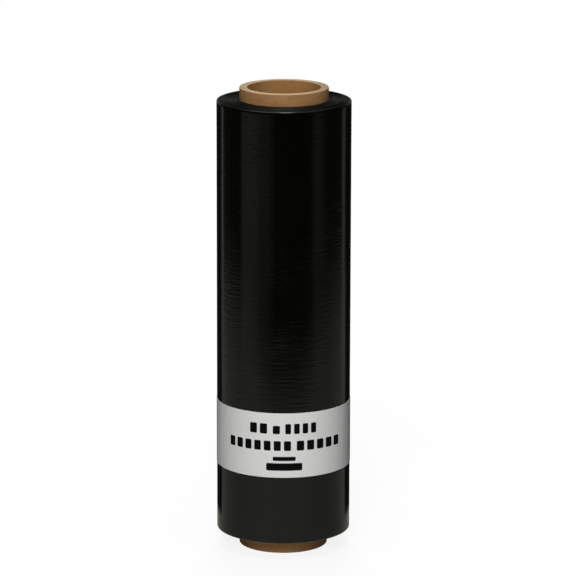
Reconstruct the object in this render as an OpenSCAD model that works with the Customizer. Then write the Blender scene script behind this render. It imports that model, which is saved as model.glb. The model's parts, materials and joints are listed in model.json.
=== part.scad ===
// Stretch wrap roll: film wound on a paper core, with a paper band round the film.
// The roll stands on the low end of its core. Millimetres, with Z up along the roll.

/* [Core] */
// Diameter of the core's bore, which takes a dispenser's spindle
core_bore_d = 76.2; // [70:0.1:80]
// Thickness of the core's wall of wound paper
core_wall = 8.15; // [5:0.05:10]
// Break of the core's four cut edges
core_edge = 0.5; // [0.2:0.1:1]
// How far the core stands out below the film
core_low_reach = 17.6; // [5:0.1:30]
// How far the core stands out above the film
core_top_reach = 13; // [5:0.1:30]

/* [Film] */
// Width of the film, which is the length of the wound part
film_w = 457.2; // [250:0.1:600]
// Thickness of the wound film, from the core out to the wall of the roll
film_build = 23.55; // [16:0.05:60]
// Radius of the film's outer edges, where the tension draws the turns in
film_edge_r = 1.2; // [0.4:0.1:3]
// Distance from one bundle of turns to the next on the ends of the roll
turn_pitch = 2.1; // [1.6:0.1:4]
// Depth of the groove that winds in between the bundles of turns
turn_depth = 0.45; // [0.1:0.05:1]
// Flat width of a bundle's crown between its two grooves
turn_crown = 1.1; // [0.2:0.1:1.4]
// Plain margin that is left between the winding groove and the film's two walls
turn_margin = 0.3; // [0.1:0.1:2]

/* [Band] */
// Height of the paper band
band_h = 69; // [20:1:120]
// How far the band's low edge lies above the film's low end
band_low = 71.3; // [20:0.1:120]
// Thickness of the band's paper
band_paper = 0.25; // [0.1:0.05:0.8]
// Length of the glued lap, where the band's end lies on its start
band_lap = 22; // [8:1:60]

/* [Fit] */
// Clearance between the film and the core, and between the band and the film
seat_clearance = 0.05; // [0:0.01:0.2]

/* [Hidden] */
// Segments of a full circle, and steps of the quarter circle that rounds the film's edges
$fn = 60;
edge_steps = 3;
// How far a cut runs past the face that it opens
cut_over = 1;

core_r = core_bore_d / 2 + core_wall;
core_len = core_low_reach + film_w + core_top_reach;

film_in_r = core_r + seat_clearance;
film_r = film_in_r + film_build;
film_low_z = core_low_reach;
film_top_z = film_low_z + film_w;

// The winding groove is made of half rings, whose centre steps aside at each half turn
half_turn_step = turn_pitch / 2;
turn_offset = half_turn_step / 2;
turns_in_r = film_in_r + turn_margin + turn_offset;
turns_room = film_r - film_edge_r - turn_margin - turn_offset - half_turn_step - turns_in_r;
turn_count = floor(turns_room / turn_pitch);
// How far the gaps in the comb that cuts the groove stand above the film's end
turn_rise = turn_depth * turn_crown / (turn_pitch - turn_crown);

band_in_r = film_r + seat_clearance;
band_r = band_in_r + band_paper;
band_lap_r = band_r + band_paper;
band_lap_angle = band_lap / band_r * 180 / PI;
// The climb is half as long as one on a line that leaves the first layer without a crease
band_climb_angle = acos(band_r / band_lap_r) / 2;
band_low_z = film_low_z + band_low;
// The lap is centred on the back of the roll
band_lap_start = 90 - band_lap_angle / 2;

// Tube of wound paper, in section, with its four cut edges broken
module core_section() {
    bore_r = core_bore_d / 2;
    polygon([
        [bore_r + core_edge, 0],
        [core_r - core_edge, 0],
        [core_r, core_edge],
        [core_r, core_len - core_edge],
        [core_r - core_edge, core_len],
        [bore_r + core_edge, core_len],
        [bore_r, core_len - core_edge],
        [bore_r, core_edge]
    ]);
}

module core() {
    color([0.55, 0.41, 0.27])
        rotate_extrude()
            core_section();
}

// Points along a quarter circle in the section, round its centre from a first angle
function rounded_edge(centre, first_angle) = [
    for (step = [0 : edge_steps])
        let (turned = first_angle + 90 * step / edge_steps)
            centre + film_edge_r * [cos(turned), sin(turned)]
];

// The wound film in section, with its two outer edges rounded
module film_section() {
    edge_x = film_r - film_edge_r;
    polygon(concat(
        [[film_in_r, film_top_z], [film_in_r, film_low_z]],
        rounded_edge([edge_x, film_low_z + film_edge_r], -90),
        rounded_edge([edge_x, film_top_z - film_edge_r], 0)
    ));
}

// Comb that cuts the grooves of half the turns, in section from inner_r outwards.
// Its teeth go turn_depth below the film's end, and the gaps between them leave the crowns.
module groove_comb(inner_r) {
    outer_r = inner_r + turn_count * turn_pitch;
    teeth = [
        for (turn = [0 : turn_count - 1])
            let (tooth_r = inner_r + turn * turn_pitch)
                each [[tooth_r, turn_rise], [tooth_r + half_turn_step, -turn_depth]]
    ];
    polygon(concat(
        teeth,
        [[outer_r, turn_rise], [outer_r, turn_rise + cut_over], [inner_r, turn_rise + cut_over]]
    ));
}

// Groove that winds in from the outer turn to the core: the half rings on one side of the
// roll are centred turn_offset to one side, and those on the other side turn_offset to the other
module winding_groove() {
    translate([turn_offset, 0, 0])
        rotate_extrude(angle = 180)
            groove_comb(turns_in_r);
    translate([-turn_offset, 0, 0])
        rotate_extrude(angle = 180, start = 180)
            groove_comb(turns_in_r + half_turn_step);
}

module film_roll() {
    color([0.13, 0.13, 0.12])
        difference() {
            rotate_extrude()
                film_section();
            translate([0, 0, film_top_z])
                winding_groove();
            translate([0, 0, film_low_z])
                mirror([0, 0, 1])
                    winding_groove();
        }
}

// Outline of the band's lap seen from above. The paper goes on a straight line from the first
// layer up to the lap's own radius, and ends in a cut edge on the far side of the lap.
module band_lap_outline() {
    climb_end = band_lap_start + band_climb_angle;
    climb_from = band_r * [cos(band_lap_start), sin(band_lap_start)];
    climb_to = band_lap_r * [cos(climb_end), sin(climb_end)];
    climb = climb_to - climb_from;
    lap_end = band_lap_start + band_lap_angle;
    intersection() {
        circle(band_lap_r);
        polygon([
            [0, 0],
            climb_from - climb / 2,
            climb_to + climb,
            2 * band_lap_r * [cos(lap_end), sin(lap_end)]
        ]);
    }
}

module label_band() {
    color([0.77, 0.77, 0.76])
        translate([0, 0, band_low_z])
            linear_extrude(band_h)
                difference() {
                    union() {
                        circle(band_r);
                        band_lap_outline();
                    }
                    circle(band_in_r);
                }
}

core();
film_roll();
label_band();
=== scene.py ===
"""Finish of a stretch wrap roll: a card core, black film wound on it, and a paper band round it."""
import json
import math

import bpy
from mathutils import Matrix, Vector


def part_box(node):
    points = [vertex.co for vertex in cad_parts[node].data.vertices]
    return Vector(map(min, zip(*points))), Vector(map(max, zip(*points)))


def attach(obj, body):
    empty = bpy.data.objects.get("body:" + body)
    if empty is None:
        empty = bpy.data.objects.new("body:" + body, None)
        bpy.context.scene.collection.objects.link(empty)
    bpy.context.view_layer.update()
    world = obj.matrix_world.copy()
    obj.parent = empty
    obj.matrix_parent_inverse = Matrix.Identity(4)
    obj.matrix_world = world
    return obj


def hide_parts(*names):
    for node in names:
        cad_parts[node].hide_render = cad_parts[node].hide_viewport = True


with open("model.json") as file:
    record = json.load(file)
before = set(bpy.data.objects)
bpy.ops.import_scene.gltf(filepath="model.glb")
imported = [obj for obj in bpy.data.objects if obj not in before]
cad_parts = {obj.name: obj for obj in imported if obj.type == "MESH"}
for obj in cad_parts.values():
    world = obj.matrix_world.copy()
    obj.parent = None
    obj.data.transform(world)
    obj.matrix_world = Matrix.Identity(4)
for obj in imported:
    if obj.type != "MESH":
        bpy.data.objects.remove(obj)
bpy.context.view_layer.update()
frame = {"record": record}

MM = 0.001
TAU = 2 * math.pi

# Sizes of the solids, from the frame where it gives them, and else as in their source
core_low, core_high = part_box("core")
film_low, film_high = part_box("film_roll")
band_low, band_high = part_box("label_band")
bore_mount = next(m for m in frame["record"]["mounts"] if m["name"] == "core_bore")

CORE_RADIUS = core_high.x
BORE_RADIUS = bore_mount["dims"]["r_mm"] * MM
CORE_EDGE = 0.5 * MM
FILM_RADIUS = film_high.x
SEAT_CLEARANCE = 0.05 * MM
FILM_INNER = CORE_RADIUS + SEAT_CLEARANCE
BAND_RADIUS = band_high.x
BAND_PAPER = 0.25 * MM
BAND_LAP = 22 * MM

# Winding of the film, as in its source
FILM_EDGE = 1.2 * MM
TURN_PITCH = 2.1 * MM
TURN_DEPTH = 0.45 * MM
TURN_CROWN = 1.1 * MM
TURN_MARGIN = 0.3 * MM

# Steps of a full circle, the angle in degrees below which faces that meet look smooth, and the
# seed of the film's uneven turns
ROUND_STEPS = 192
SMOOTH_BELOW = 50
FILM_SEED = 7


class Wire:
    """What a socket carries. Arithmetic on a number adds Math nodes to its tree."""

    def __init__(self, tree, socket):
        self.tree = tree
        self.socket = socket

    def __add__(self, other):
        return self.tree.math("ADD", self, other)

    def __radd__(self, other):
        return self.tree.math("ADD", other, self)

    def __sub__(self, other):
        return self.tree.math("SUBTRACT", self, other)

    def __rsub__(self, other):
        return self.tree.math("SUBTRACT", other, self)

    def __mul__(self, other):
        return self.tree.math("MULTIPLY", self, other)

    def __rmul__(self, other):
        return self.tree.math("MULTIPLY", other, self)

    def __truediv__(self, other):
        return self.tree.math("DIVIDE", self, other)

    def __rtruediv__(self, other):
        return self.tree.math("DIVIDE", other, self)

    def __abs__(self):
        return self.tree.math("ABSOLUTE", self)


class Tree:
    """A node tree, and the one way in which nodes are added to it."""

    def __init__(self, tree):
        self.tree = tree

    def node(self, kind, settings=None, inputs=None, output=0):
        """Adds a node, with its settings before its sockets, and gives the wire of one output."""
        made = self.tree.nodes.new(kind)
        for name, value in (settings or {}).items():
            setattr(made, name, value)
        for name, value in (inputs or {}).items():
            self.feed(made.inputs[name], value)
        return Wire(self, made.outputs[output] if made.outputs else None)

    def feed(self, socket, value):
        """Links a wire, or each of a list of wires, to a socket, or sets the socket's own value."""
        wires = value if isinstance(value, list) else [value]
        for item in wires:
            if isinstance(item, Wire):
                self.tree.links.new(item.socket, socket)
            else:
                socket.default_value = item

    def math(self, operation, *values):
        inputs = dict(enumerate(values))
        return self.node("ShaderNodeMath", {"operation": operation}, inputs)

    def ease(self, value, start, end):
        """0 before start and 1 after end, with a smooth change between them."""
        inputs = {"Value": value, "From Min": start, "From Max": end}
        return self.node("ShaderNodeMapRange", {"interpolation_type": "SMOOTHSTEP"}, inputs)

    def clamp(self, value):
        return self.node("ShaderNodeClamp", None, {"Value": value})

    def maximum(self, first, *others):
        for other in others:
            first = self.math("MAXIMUM", first, other)
        return first

    def tint(self, factor, first, second):
        """The first colour at factor 0 and the second at factor 1."""
        colours = [(*c, 1) if isinstance(c, tuple) else c for c in (first, second)]
        inputs = {0: factor, 6: colours[0], 7: colours[1]}
        return self.node("ShaderNodeMix", {"data_type": "RGBA"}, inputs, 2)

    def axes(self, vector):
        """The three wires of a vector."""
        split = self.node("ShaderNodeSeparateXYZ", None, {0: vector})
        return [Wire(self, socket) for socket in split.socket.node.outputs]

    def vector(self, x, y, z):
        return self.node("ShaderNodeCombineXYZ", None, {0: x, 1: y, 2: z})

    def noise(self, vector, scale, detail=2.0, roughness=0.5):
        """Noise from 0 to 1 round 0.5, with so many spots to the metre along each axis."""
        stretched = self.node("ShaderNodeMapping", None, {"Vector": vector, "Scale": scale})
        inputs = {"Vector": stretched, "Scale": 1.0, "Detail": detail, "Roughness": roughness}
        return self.node("ShaderNodeTexNoise", None, inputs)


class Finish(Tree):
    """A material with its Principled shader, whose patterns lie on Object coordinates."""

    def __init__(self, name):
        self.material = bpy.data.materials.new(name)
        self.material.use_nodes = True
        super().__init__(self.material.node_tree)
        self.shader = self.tree.nodes["Principled BSDF"]
        self.place = self.node("ShaderNodeTexCoord", output="Object")
        self.x, self.y, self.z = self.axes(self.place)
        # Distance from the roll's axis, and angle round it from the front, to the right
        self.radius = self.math("SQRT", self.x * self.x + self.y * self.y)
        self.angle = self.math("ARCTAN2", self.x, self.y * -1.0)

    def set(self, **values):
        for name, value in values.items():
            self.feed(self.shader.inputs[name.replace("_", " ")], value)

    def relief(self, height, depth, under=None):
        """Normal of a height from 0 to 1 that is so many metres deep, over another normal."""
        inputs = {"Height": height, "Distance": depth, "Strength": 1.0}
        if under is not None:
            inputs["Normal"] = under
        return self.node("ShaderNodeBump", None, inputs)


def kraft_card():
    """Brown core board: fibres along the wound strips, their seams, pale plies on the rims, and
    painted light and shade on the outside wall.
    """
    made = Finish("kraft_card")
    wall_colour = (0.228, 0.114, 0.042)
    dark_fibre_and_shade = (0.130, 0.060, 0.020)
    pale_fibre_and_light = (0.335, 0.186, 0.076)
    bore_colour = (0.300, 0.150, 0.050)
    rim_colour = (0.730, 0.543, 0.338)
    glue_colour = (0.330, 0.205, 0.105)
    # How far a strip climbs in one turn, the share of that climb before the first seam, and the
    # share that a seam takes up
    strip_lead = 106 * MM
    first_seam = 0.28
    seam_width = 0.006
    ply = 0.68 * MM
    rim_lean = -1.1

    # A strip climbs as it goes round, and its fibres run along it from one turn to the next
    turned = made.angle / TAU
    strips = made.z / strip_lead - turned + first_seam
    strip = made.math("FLOOR", strips)
    along = (turned + strip) * (TAU * CORE_RADIUS)
    across = strips - strip
    laid = made.vector(along, across * strip_lead, made.radius)
    cloudy = made.noise(laid, (35, 70, 40), 3.0)
    fibres = made.noise(laid, (260, 1500, 900), 3.0, 0.65)
    specks = made.noise(made.place, (900, 900, 900), 1.0)

    past_end = made.maximum(core_low.z - made.z, made.z - core_high.z)
    rim = made.ease(past_end, CORE_EDGE * -0.5, CORE_EDGE * -0.1)
    seam = made.ease(abs(across - 0.5), 0.5 - seam_width, 0.5) * (1 - rim)
    ring = made.math("FRACT", (made.radius - BORE_RADIUS) / ply)
    glue_line = (1 - made.ease(abs(ring - 0.5), 0.06, 0.20)) * rim

    wall = made.tint(made.ease(cloudy, 0.30, 0.70), dark_fibre_and_shade, pale_fibre_and_light)
    wall = made.tint(0.52, wall, wall_colour)
    wall = made.tint(made.ease(fibres, 0.50, 0.68) * 0.75, wall, pale_fibre_and_light)
    wall = made.tint(made.ease(fibres, 0.50, 0.32) * 0.75, wall, dark_fibre_and_shade)
    wall = made.tint(made.ease(specks, 0.66, 0.74) * 0.45, wall, dark_fibre_and_shade)
    wall = made.tint(seam * 0.55, wall, dark_fibre_and_shade)
    # The bore's own ply is warmer. Outside, painted light makes the wall paler towards the top rim
    # and painted shade darkens it next to the film. At the low end, painted light lifts the wall
    # next to the film, and the wall is darker towards the floor
    wall = made.tint(made.ease(made.radius, BORE_RADIUS + MM, BORE_RADIUS) * 0.45, wall, bore_colour)
    outside = made.ease(made.radius, CORE_RADIUS - 2 * MM, CORE_RADIUS - 0.5 * MM)
    top_end = made.ease(made.z, film_high.z - 20 * MM, film_high.z - 10 * MM) * outside
    # Painted light makes the wall paler towards the top rim, and painted shade darkens it next to the
    # film
    painted_light_to_rim = made.ease(made.z, film_high.z - 4 * MM, core_high.z + 3 * MM)
    low_end = made.ease(made.z, film_low.z + 20 * MM, film_low.z + 5 * MM) * outside
    # Painted light lifts the low end next to the film, where the film's edge shades it; the low end is
    # darker towards the floor
    painted_light_to_film = made.ease(made.z, core_low.z - 2 * MM, film_low.z)
    wall = made.tint(top_end * (1 - painted_light_to_rim) * 0.45 + low_end * (1 - painted_light_to_film) * 0.40, wall, dark_fibre_and_shade)
    wall = made.tint(top_end * painted_light_to_rim * 0.45 + low_end * painted_light_to_film * 0.90, wall, pale_fibre_and_light)
    cut = made.tint(made.ease(fibres, 0.35, 0.70) * 0.30, rim_colour, wall_colour)
    cut = made.tint(glue_line * 0.60, cut, glue_colour)

    relief = fibres * 0.5 + cloudy * 0.3 - seam * 0.8 - glue_line * 0.5
    # The cut fibres lean outwards, so the rims catch the light as if they sloped a little
    lean = made.relief(made.radius * rim_lean, 1.0)
    made.set(
        Base_Color=made.tint(rim, wall, cut),
        Roughness=0.80 + fibres * 0.15,
        Specular_IOR_Level=0.12,
        Normal=made.relief(relief, 0.16 * MM, lean),
    )
    return made.material


def film_wall_finish():
    """Glossy black film, drawn tight: fine ripples run round the roll, with a few creases."""
    made = Finish("film_wall")
    clean_colour = (0.0006, 0.0006, 0.0004)
    dusty_colour = (0.0029, 0.0028, 0.0022)
    tail_angle = math.radians(158)
    tail_width = 0.006
    ripples = made.noise(made.place, (40, 40, 430), 2.0)
    fine = made.noise(made.place, (60, 60, 1500), 1.0)
    haze = made.noise(made.place, (110, 110, 520), 2.0, 0.6)
    patches = made.noise(made.place, (28, 28, 14), 1.0)
    creases = made.noise(made.place, (45, 45, 330), 0.0)
    crease = made.ease(creases, 0.70, 0.80)
    # The film ripples more in its lower half, most of all just above the band, and a little more
    # near its top. Heights here and below are in metres from the floor
    lower = made.ease(made.z, 0.36, 0.28) * 0.7 + made.ease(made.z, 0.21, 0.15) * 0.8
    lower = lower * made.ease(made.z, 0.08, 0.17)
    upper = made.ease(made.z, 0.38, 0.44) * 0.6
    rippled = (0.35 + made.ease(patches, 0.35, 0.65) * 0.65) * (1.8 + lower + upper)
    # A little dust and slack makes it hazy here and there, less so near its two ends
    hazy = made.ease(patches, 0.40, 0.62)
    hazy = hazy * made.ease(made.z, 0.42, 0.28) * made.ease(made.z, 0.10, 0.20)
    # The film's loose end is a faint upright edge at the back, a little to one side
    tail_bend = made.noise(made.vector(0.0, 0.0, made.z), (1, 1, 9), 1.0) * 0.05
    tail = made.ease(made.angle + tail_bend, tail_angle, tail_angle + tail_width)

    relief = made.relief(ripples * rippled + crease * 0.4, 0.08 * MM)
    relief = made.relief(fine, 0.008 * MM, relief)
    relief = made.relief(tail, 0.05 * MM, relief)
    made.set(
        Base_Color=made.tint(made.ease(haze, 0.40, 0.72) * hazy, clean_colour, dusty_colour),
        Roughness=0.10 + patches * 0.06 + crease * 0.1,
        Specular_IOR_Level=0.2,
        Normal=relief,
    )
    return made.material


def wound_end_finish():
    """Ends of the film: the edges of the turns, in dull rings with painted light and shade on them."""
    made = Finish("film_ends")
    shaded_colour = (0.0003, 0.0003, 0.0003)
    lit_colour = (0.0082, 0.0082, 0.0076)
    # The rings drift outwards round the roll as the film's turns do
    drift = made.radius - made.angle / TAU * TURN_PITCH
    rings = made.noise(made.vector(drift, made.angle * 0.002, 0.0), (2600, 900, 1), 2.0, 0.7)
    bundles = made.noise(made.vector(drift, made.angle * 0.004, 0.0), (520, 300, 1), 1.0)
    grain = made.noise(made.place, (700, 700, 700), 2.0)
    # The rings are painted lit and shaded: painted light and shade on the edges of the turns
    light = made.ease(rings * 0.45 + bundles * 0.55, 0.40, 0.60)
    made.set(
        Base_Color=made.tint(light, shaded_colour, lit_colour),
        Roughness=0.48 + grain * 0.1,
        Specular_IOR_Level=0.05,
        # The edges of the turns run round the roll, so they spread light across themselves
        Anisotropic=0.85,
        Anisotropic_Rotation=0.25,
        Normal=made.relief(rings * 0.6 + bundles * 0.4 + grain * 0.2, 0.10 * MM),
    )
    return made.material


def printed_paper():
    """Pale paper with a fine grain. Its print is two lines of dark blocks over two dark bars."""
    made = Finish("band_paper")
    paper_colour = (0.735, 0.735, 0.725)
    grain_colour = (0.630, 0.630, 0.621)
    ink_colour = (0.001, 0.001, 0.001)
    # How far the print's lines and bars start and end above the band's low edge, with one block of
    # the upper line that is lower than the others
    upper_line = (46.8 * MM, 57.7 * MM)
    low_block = (46.8 * MM, 55.7 * MM)
    lower_line = (28.8 * MM, 39.3 * MM)
    short_bar = (18.0 * MM, 22.5 * MM)
    long_bar = (7.5 * MM, 15.5 * MM)
    gap = 3.2 * MM
    corner = 1.4 * MM
    blur = 0.12 * MM
    arc = made.angle * BAND_RADIUS
    up = made.z - band_low.z

    def blocks(start, end, count, low, top):
        """A row of blocks with round corners, between two places round the band and two heights."""
        pitch = (end - start + gap) / count
        step = made.math("FRACT", (arc - start + gap / 2) / pitch)
        aside = abs(step - 0.5) * pitch - (pitch / 2 - gap / 2 - corner)
        above = abs(up - (low + top) / 2) - ((top - low) / 2 - corner)
        out_x = made.maximum(aside, 0.0)
        out_z = made.maximum(above, 0.0)
        off = made.math("SQRT", out_x * out_x + out_z * out_z) - corner
        half = (end - start) / 2
        within = made.ease(abs(arc - (start + end) / 2), half + 0.1 * MM, half)
        return made.ease(off, blur, -blur) * within

    ink = made.maximum(
        blocks(-36 * MM, -17 * MM, 2, *upper_line),
        blocks(-11 * MM, -3.5 * MM, 1, *low_block),
        blocks(2 * MM, 35.5 * MM, 4, *upper_line),
        blocks(-63 * MM, 8 * MM, 7, *lower_line),
        blocks(14 * MM, 67 * MM, 5, *lower_line),
        blocks(-11 * MM, 13 * MM, 1, *short_bar),
        blocks(-18 * MM, 20 * MM, 1, *long_bar),
    )

    grain = made.noise(made.place, (1100, 1100, 1100), 2.0, 0.6)
    fibres = made.noise(made.vector(arc, made.z, made.radius), (220, 500, 200), 3.0, 0.6)
    paper = made.tint(made.ease(grain, 0.40, 0.75) * 0.55, paper_colour, grain_colour)
    paper = made.tint(made.ease(fibres, 0.55, 0.80) * 0.30, paper, grain_colour)
    speckled = made.tint(made.ease(grain, 0.64, 0.74) * 0.02, ink_colour, paper_colour)
    made.set(
        Base_Color=made.tint(ink, paper, speckled),
        Roughness=0.66 + grain * 0.1,
        Specular_IOR_Level=0.05,
        Normal=made.relief(grain * 0.6 + fibres * 0.4, 0.03 * MM),
    )
    return made.material


def new_object(name, mesh):
    made = bpy.data.objects.new(name, mesh)
    bpy.context.scene.collection.objects.link(made)
    return made


def mesh_of(name, points, faces, material, smooth_below=SMOOTH_BELOW):
    """A mesh whose faces look smooth where they meet at less than so many degrees."""
    mesh = bpy.data.meshes.new(name)
    mesh.from_pydata(points, [], faces)
    mesh.materials.append(material)
    soften(mesh, smooth_below)
    return mesh


def soften(mesh, smooth_below=SMOOTH_BELOW):
    mesh.shade_smooth()
    mesh.set_sharp_from_angle(angle=math.radians(smooth_below))
    mesh.validate()


def turned_mesh(name, section, material, closed=True):
    """Turns a section of (radius, height) points, given clockwise, about the roll's axis."""
    points = []
    faces = []
    count = len(section)
    sides = count if closed else count - 1
    for step in range(ROUND_STEPS):
        turn = TAU * step / ROUND_STEPS
        points += [(r * math.cos(turn), r * math.sin(turn), z) for r, z in section]
        here = step * count
        there = (step + 1) % ROUND_STEPS * count
        for index in range(sides):
            after = (index + 1) % count
            faces.append((here + index, here + after, there + after, there + index))
    return mesh_of(name, points, faces, material)


def rounded_corner(radius, height, edge, first_turn, steps=4):
    """Points of a quarter circle in section, clockwise from a first angle in quarter turns."""
    for step in range(steps + 1):
        turned = (first_turn - step / steps) * math.pi / 2
        yield radius + edge * math.cos(turned), height + edge * math.sin(turned)


def core_tube(material):
    """The wound core, with its cut edges worn round."""
    inner = BORE_RADIUS + CORE_EDGE
    outer = CORE_RADIUS - CORE_EDGE
    top = core_high.z - CORE_EDGE
    low = core_low.z + CORE_EDGE
    section = [
        *rounded_corner(inner, top, CORE_EDGE, 2),
        *rounded_corner(outer, top, CORE_EDGE, 1),
        *rounded_corner(outer, low, CORE_EDGE, 0),
        *rounded_corner(inner, low, CORE_EDGE, -1),
    ]
    return new_object("core_tube", turned_mesh("core_tube", section, material))


def paper_band(material):
    """The band as one strip of paper, which laps over its own start at the back."""
    steps = 240
    lap_angle = BAND_LAP / BAND_RADIUS
    lap_start = math.pi / 2 - lap_angle / 2
    climb = math.radians(4)
    first_angle = lap_start + climb
    last_angle = lap_start + TAU + lap_angle

    def radius_at(angle):
        share = min(max((angle - lap_start - TAU) / climb, 0), 1)
        lifted = share * share * (3 - 2 * share)
        return BAND_RADIUS - BAND_PAPER + lifted * BAND_PAPER

    rings = []
    for step in range(steps + 1):
        angle = first_angle + (last_angle - first_angle) * step / steps
        inner = radius_at(angle)
        outer = inner + BAND_PAPER
        rings.append([
            (r * math.cos(angle), r * math.sin(angle), z)
            for r, z in (
                (inner, band_low.z), (outer, band_low.z), (outer, band_high.z), (inner, band_high.z)
            )
        ])
    points = [point for ring in rings for point in ring]
    faces = [(3, 2, 1, 0), tuple(4 * steps + corner for corner in range(4))]
    for step in range(steps):
        here = 4 * step
        for corner in range(4):
            after = (corner + 1) % 4
            faces.append((here + corner, here + after, here + 4 + after, here + 4 + corner))
    mesh = mesh_of("paper_band", points, faces, material, smooth_below=40)
    return new_object("paper_band", mesh)


def polar_grid(tree, rings, segments):
    """A flat grid, with the share across its rings and the angle round the roll at each point."""
    sizes = {"Size X": 1.0, "Size Y": 1.0, "Vertices X": rings, "Vertices Y": segments}
    grid = tree.node("GeometryNodeMeshGrid", None, sizes)
    x, y, _ = tree.axes(tree.node("GeometryNodeInputPosition"))
    return grid, x + 0.5, (y + 0.5) * TAU


def wrapped(tree, grid, radius, angle, height, inside_out=False):
    """Sets a grid's points round the roll's axis."""
    place = tree.vector(
        radius * tree.math("COSINE", angle), radius * tree.math("SINE", angle), height
    )
    made = tree.node("GeometryNodeSetPosition", None, {"Geometry": grid, "Position": place})
    if inside_out:
        made = tree.node("GeometryNodeFlipFaces", None, {"Mesh": made})
    return made


def winding_tree(wall_material, end_material):
    """Nodes that make the wound film: a drawn wall with round lips, and ends with a winding groove."""
    group = bpy.data.node_groups.new("wound_film", "GeometryNodeTree")
    sizes = {
        "Inner Radius": FILM_INNER,
        "Outer Radius": FILM_RADIUS,
        "Low End": film_low.z,
        "Top End": film_high.z,
        "Lip Radius": FILM_EDGE,
        "Turn Pitch": TURN_PITCH,
        "Turn Depth": TURN_DEPTH,
        "Turn Crown": TURN_CROWN,
        "Turn Margin": TURN_MARGIN,
        "Uneven Turns": 0.10 * MM,
        "Uneven Wall": 0.10 * MM,
        "Inner Turns Up": 0.6 * MM,
        "Outer Turns Down": 0.4 * MM,
        "Proud Turns Radius": 62 * MM,
        "Proud Turns Height": 0.8 * MM,
        "Proud Turns Rise": 3 * MM,
        "Proud Turns Fall": 2 * MM,
    }
    for name in sizes:
        group.interface.new_socket(name=name, in_out="INPUT", socket_type="NodeSocketFloat")
    group.interface.new_socket(name="Seed", in_out="INPUT", socket_type="NodeSocketInt")
    group.interface.new_socket(name="Film", in_out="OUTPUT", socket_type="NodeSocketGeometry")
    tree = Tree(group)
    entry = tree.node("NodeGroupInput").socket.node
    size = {socket.name: Wire(tree, socket) for socket in entry.outputs if socket.name}

    inner = size["Inner Radius"]
    outer = size["Outer Radius"]
    low = size["Low End"]
    top = size["Top End"]
    lip = size["Lip Radius"]
    pitch = size["Turn Pitch"]
    around = ROUND_STEPS + 1
    weld = 0.002 * MM

    def slipped(share):
        """How far the turns have slipped along the roll, from the inner ones to the outer ones."""
        return size["Inner Turns Up"] * (1 - share) - size["Outer Turns Down"] * share

    def wound_end(height, side, rings=113):
        """One end of the roll: the groove goes into it, each bundle of turns stands its own way,
        and a few turns near the outside stand proud."""
        grid, share, angle = polar_grid(tree, rings, around)
        radius = inner + share * (outer - lip - inner)
        turn = (radius - inner - size["Turn Margin"]) / pitch - angle / TAU
        from_groove = abs(tree.math("FRACT", turn + 1.5) - 0.5) * pitch
        slope = (pitch - size["Turn Crown"]) / 2
        groove = 1 - tree.clamp(from_groove / slope)
        in_margin = tree.ease(radius, inner, inner + size["Turn Margin"] * 2)
        out_margin = tree.ease(radius, outer - lip, outer - lip - size["Turn Margin"] * 2)
        chance = tree.node(
            "FunctionNodeRandomValue",
            {"data_type": "FLOAT"},
            {"ID": tree.math("FLOOR", turn + 1.0), "Seed": size["Seed"]},
            1,
        )
        uneven = (1 - groove) * chance * size["Uneven Turns"]
        drop = (groove * size["Turn Depth"] + uneven) * in_margin * out_margin
        crest = size["Proud Turns Radius"]
        rise = tree.ease(radius, crest - size["Proud Turns Rise"], crest)
        fall = tree.ease(radius, crest + size["Proud Turns Fall"], crest)
        drop = drop - rise * fall * size["Proud Turns Height"]
        return wrapped(tree, grid, radius, angle, height + slipped(share) - drop * side, side < 0)

    def film_wall(lip_rows=6, wall_rows=150):
        """The outside wall with its two round lips, drawn in here and there as it was wound."""
        last_row = lip_rows * 2 + wall_rows
        grid, share, angle = polar_grid(tree, last_row + 1, around)
        row = share * last_row
        low_turn = tree.clamp(row / lip_rows) - 1
        top_turn = tree.clamp((row - lip_rows - wall_rows) / lip_rows)
        tilt = (low_turn + top_turn) * (math.pi / 2)
        up_wall = tree.clamp((row - lip_rows) / wall_rows)
        height = low + lip + up_wall * (top - low - lip * 2) + lip * tree.math("SINE", tilt)
        # The slack varies round the roll, and faster along it
        place = tree.vector(tree.math("COSINE", angle), tree.math("SINE", angle), height * 16)
        slack = tree.node("ShaderNodeTexNoise", None, {"Vector": place, "Scale": 2.2, "Detail": 1.0})
        ends_held = tree.ease(up_wall, 0.0, 0.05) * tree.ease(up_wall, 1.0, 0.95)
        drawn_in = slack * size["Uneven Wall"] * ends_held
        radius = outer - lip + lip * tree.math("COSINE", tilt) - drawn_in
        return wrapped(tree, grid, radius, angle, height + slipped(1), True)

    def bore_wall():
        """The straight wall inside, next to the core."""
        grid, share, angle = polar_grid(tree, 2, around)
        return wrapped(tree, grid, inner + share * 0, angle, low + slipped(0) + share * (top - low))

    def joined(parts, material):
        made = tree.node("GeometryNodeJoinGeometry", None, {0: parts})
        inputs = {"Geometry": made, "Material": material}
        return tree.node("GeometryNodeSetMaterial", None, inputs)

    ends = joined([wound_end(top, 1), wound_end(low, -1)], end_material)
    walls = joined([film_wall(), bore_wall()], wall_material)
    film = tree.node("GeometryNodeJoinGeometry", None, {0: [walls, ends]})
    film = tree.node("GeometryNodeMergeByDistance", None, {"Geometry": film, "Distance": weld})
    film = tree.node("GeometryNodeRealizeInstances", None, {"Geometry": film})
    tree.node("NodeGroupOutput", None, {0: film})
    return group, {**sizes, "Seed": FILM_SEED}


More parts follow.
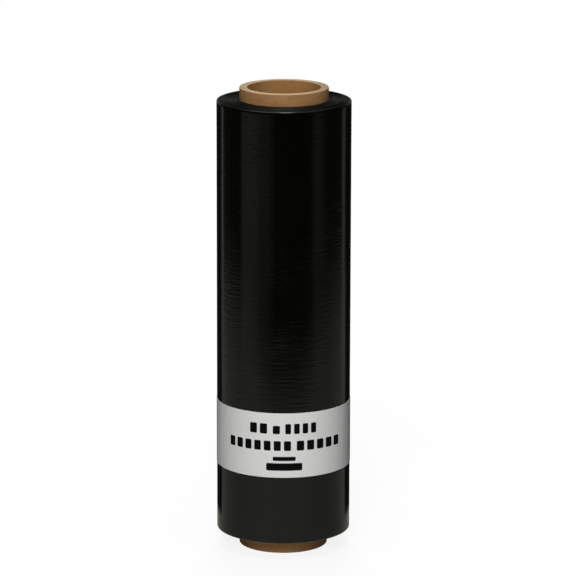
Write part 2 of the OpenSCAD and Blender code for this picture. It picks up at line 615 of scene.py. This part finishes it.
def wound_film(wall_material, end_material):
    """The film's turns as one closed piece, made by the winding nodes and turned to a plain mesh."""
    group, values = winding_tree(wall_material, end_material)
    maker = new_object("film_maker", bpy.data.meshes.new("film_maker"))
    winding = maker.modifiers.new("winding", "NODES")
    winding.node_group = group
    for item in group.interface.items_tree:
        if item.in_out == "INPUT":
            winding[item.identifier] = values[item.name]
    evaluated = maker.evaluated_get(bpy.context.evaluated_depsgraph_get())
    mesh = bpy.data.meshes.new_from_object(evaluated)
    mesh.name = "wound_film"
    soften(mesh)
    maker.modifiers.remove(winding)
    bpy.data.objects.remove(maker)
    return new_object("wound_film", mesh)


def seen_directly(tree):
    """1 where a ray comes from the camera, or from a mirroring or clear surface."""
    path = tree.node("ShaderNodeLightPath").socket.node
    rays = ("Is Camera Ray", "Is Glossy Ray", "Is Transmission Ray")
    return tree.maximum(*(Wire(tree, path.outputs[name]) for name in rays))


def studio_world():
    """White where it is seen, and a weak even light on the roll."""
    world = bpy.data.worlds.new("studio")
    world.use_nodes = True
    tree = Tree(world.node_tree)
    seen = seen_directly(tree)
    ambient = 0.03
    back = world.node_tree.nodes["Background"]
    back.inputs["Color"].default_value = (1, 1, 1, 1)
    tree.feed(back.inputs["Strength"], ambient + seen * (1 - ambient))
    bpy.context.scene.world = world


def studio_floor():
    """A pale floor that shows white, and keeps the roll's shadow near the roll. It throws light
    back up under the film, and less of it further out, so that the roll's sides stay darker."""
    reach = 30
    below_roll = 0.1 * MM
    near_colour = (0.75, 0.75, 0.75)
    far_colour = (0.08, 0.08, 0.08)
    seen_colour = (1, 1, 1)
    floor_z = core_low.z - below_roll
    corners = [(x * reach, y * reach, floor_z) for x, y in ((-1, -1), (1, -1), (1, 1), (-1, 1))]
    made = Finish("floor")
    seen = seen_directly(made)
    far = made.ease(made.radius, 0.15, 0.9)
    white_share = seen * (0.85 + far * 0.15)
    glow = made.node("ShaderNodeEmission", None, {"Strength": 1.0})
    thrown_back = made.tint(made.ease(made.radius, 0.055, 0.085), near_colour, far_colour)
    made.set(
        Base_Color=made.tint(seen, thrown_back, seen_colour),
        Roughness=0.9,
        Specular_IOR_Level=0.0,
    )
    lit = Wire(made, made.shader.outputs[0])
    mixed = made.node("ShaderNodeMixShader", None, {0: white_share, 1: lit, 2: glow})
    made.feed(made.tree.nodes["Material Output"].inputs["Surface"], mixed)
    floor = new_object("floor", mesh_of("floor", corners, [(0, 1, 2, 3)], made.material))


def film_cards():
    """A bowl of cards that only the gloss sees: a pool of light on the floor round the roll, and
    dark beyond it, with a few pale cards that draw upright streaks on the film."""
    reach = 3.0
    roof = 3.0
    bottom = 0.3 * MM
    hole = 0.02
    dark = 0.05
    most_bend = 60
    warm_white = (1.0, 0.985, 0.88, 1.0)
    made = Finish("cards")
    # The film mirrors each point of the floor in a direction that its own curve turns further
    # round, by so many degrees at most
    bend = made.math("SINE", made.angle / 2) * (FILM_RADIUS / made.radius) * most_bend
    turned = made.angle * (180 / math.pi) + bend
    aside = abs(turned)
    # Each card: where it starts and is full, where it starts to fade and is gone, in degrees from
    # the front to the right, how bright it is, and how much brighter it is far out
    cards = (
        (-136, -134, -129, -125, 0.35, 0.0),
        (-82, -72, -51, -38, 0.21, -0.07),
        (-82, -72, -31, -12, 0.16, 0.20),
        (46, 56, 60, 84, 0.16, 0.12),
        (117, 121, 127, 131, 0.28, 0.0),
    )
    far_out = made.ease(made.radius, 1.2, 2.4)
    beyond = dark * (1 - made.ease(aside, 128, 138) * 0.75)
    for start, full, fade, gone, bright, brighter in cards:
        level = bright + far_out * brighter
        beyond = beyond + made.ease(turned, start, full) * made.ease(turned, gone, fade) * level
    behind = made.ease(aside, 131, 137)
    # The pool of light dims to the sides, a little more on the right, and fades out at the back
    pool = 0.97 - made.ease(aside, 25, 132) * 0.56
    pool = pool * (1 - made.ease(turned, 15, 45) * made.ease(turned, 115, 85) * 0.09)
    pool = pool * (1 - behind * (0.15 + made.ease(made.radius, 0.145, 0.17) * 0.81))
    # It is wider to the sides than to the front
    spread = made.radius * 0.93 / (1 + made.ease(aside, 15, 105) * 0.68)
    away = made.ease(spread, 0.37, 0.95)
    low_light = pool * (1 - away) + beyond * away

    # Higher up it is dark, but for a lamp over the front with a dimmer card on each side of it,
    # and a card behind the roll
    rise = made.math("ARCTAN2", made.z - core_high.z, made.radius) * (180 / math.pi)
    over_front = made.ease(rise, 16, 24) * made.ease(made.y, 0.1, -0.6)
    over_sides = made.ease(rise, 16, 24) * made.ease(made.y, 1.2, 0.3)
    front_lamp = made.ease(made.x, -0.45, -0.15) * made.ease(made.x, 0.70, 0.40) * over_front
    left_card = made.ease(made.x, -3.0, -2.0) * made.ease(made.x, -0.1, -0.4) * over_sides
    right_card = made.ease(made.x, 0.3, 0.6) * made.ease(made.x, 3.0, 2.4) * over_sides
    back_card = made.ease(aside, 130, 148) * made.ease(rise, 24, 10)
    high_light = 0.04 + front_lamp * 14 + left_card * 3.0 + right_card * 1.4 + back_card * 0.21
    high = made.ease(made.z, 0.02, 0.10)
    bright = low_light * (1 - high) + high_light * high
    glow = made.node("ShaderNodeEmission", None, {"Color": warm_white, "Strength": bright})
    made.feed(made.tree.nodes["Material Output"].inputs["Surface"], glow)

    section = [(hole, bottom), (0.3, bottom), (reach, bottom), (reach, roof), (hole, roof)]
    bowl = new_object("cards", turned_mesh("cards", section, made.material, closed=False))
    bowl.visible_camera = False
    bowl.visible_diffuse = False
    bowl.visible_transmission = False
    bowl.visible_shadow = False


def lamp(name, azimuth, elevation, distance, width, height, level, aim):
    """A soft lamp. Its azimuth goes from the front to the right, and its level is the brightness
    that it gives a surface that faces it."""
    data = bpy.data.lights.new(name, "AREA")
    data.shape = "RECTANGLE"
    data.size = width
    data.size_y = height
    # At this power a surface that faces the lamp shows its colour as it is written, at level 1
    data.energy = level * (math.pi * distance) ** 2
    made = bpy.data.objects.new(name, data)
    turn = math.radians(azimuth)
    rise = math.radians(elevation)
    outwards = Vector((math.sin(turn), -math.cos(turn), 0))
    back = outwards * math.cos(rise) + Vector((0, 0, math.sin(rise)))
    made.location = aim + back * distance
    made.rotation_euler = back.to_track_quat("Z", "Y").to_euler()
    made.visible_camera = False
    made.visible_glossy = False
    bpy.context.scene.collection.objects.link(made)


def studio_lamps():
    """Four soft lamps: azimuth, elevation, distance, width, height and level of each."""
    middle = Vector((0, 0, (core_low.z + core_high.z) / 2))
    lamp("front_softbox", -2, 15, 2.6, 1.0, 1.6, 0.44, middle)
    lamp("front_lamp", -7, 27, 2.4, 0.8, 0.5, 0.44, middle)
    lamp("top_softbox", 0, 85, 2.2, 0.9, 1.2, 0.45, middle)
    lamp("back_softbox", 180, 30, 2.6, 1.2, 1.6, 0.60, middle)


def photo_camera():
    """The camera where the photo was taken from, as worked out from the roll's outlines."""
    away = 3.9766
    up = 1.2178
    aside = 4.5 * MM
    look_down = math.radians(13.343)
    roll = math.radians(0.13)
    sensor_mm = 36
    lens_mm = 244.75
    data = bpy.data.cameras.new("photo_camera")
    data.sensor_width = sensor_mm
    data.lens = lens_mm
    made = bpy.data.objects.new("photo_camera", data)
    turned = Matrix.Rotation(math.pi / 2 - look_down, 4, "X") @ Matrix.Rotation(roll, 4, "Z")
    made.matrix_world = Matrix.Translation((aside, -away, up)) @ turned
    bpy.context.scene.collection.objects.link(made)
    bpy.context.scene.camera = made


def finish_piece(piece, node):
    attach(piece, "root")
    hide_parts(node)


photo_camera()
finish_piece(core_tube(kraft_card()), "core")
finish_piece(wound_film(film_wall_finish(), wound_end_finish()), "film_roll")
finish_piece(paper_band(printed_paper()), "label_band")
studio_world()
studio_floor()
film_cards()
studio_lamps()
bpy.context.scene.view_settings.view_transform = "Standard"
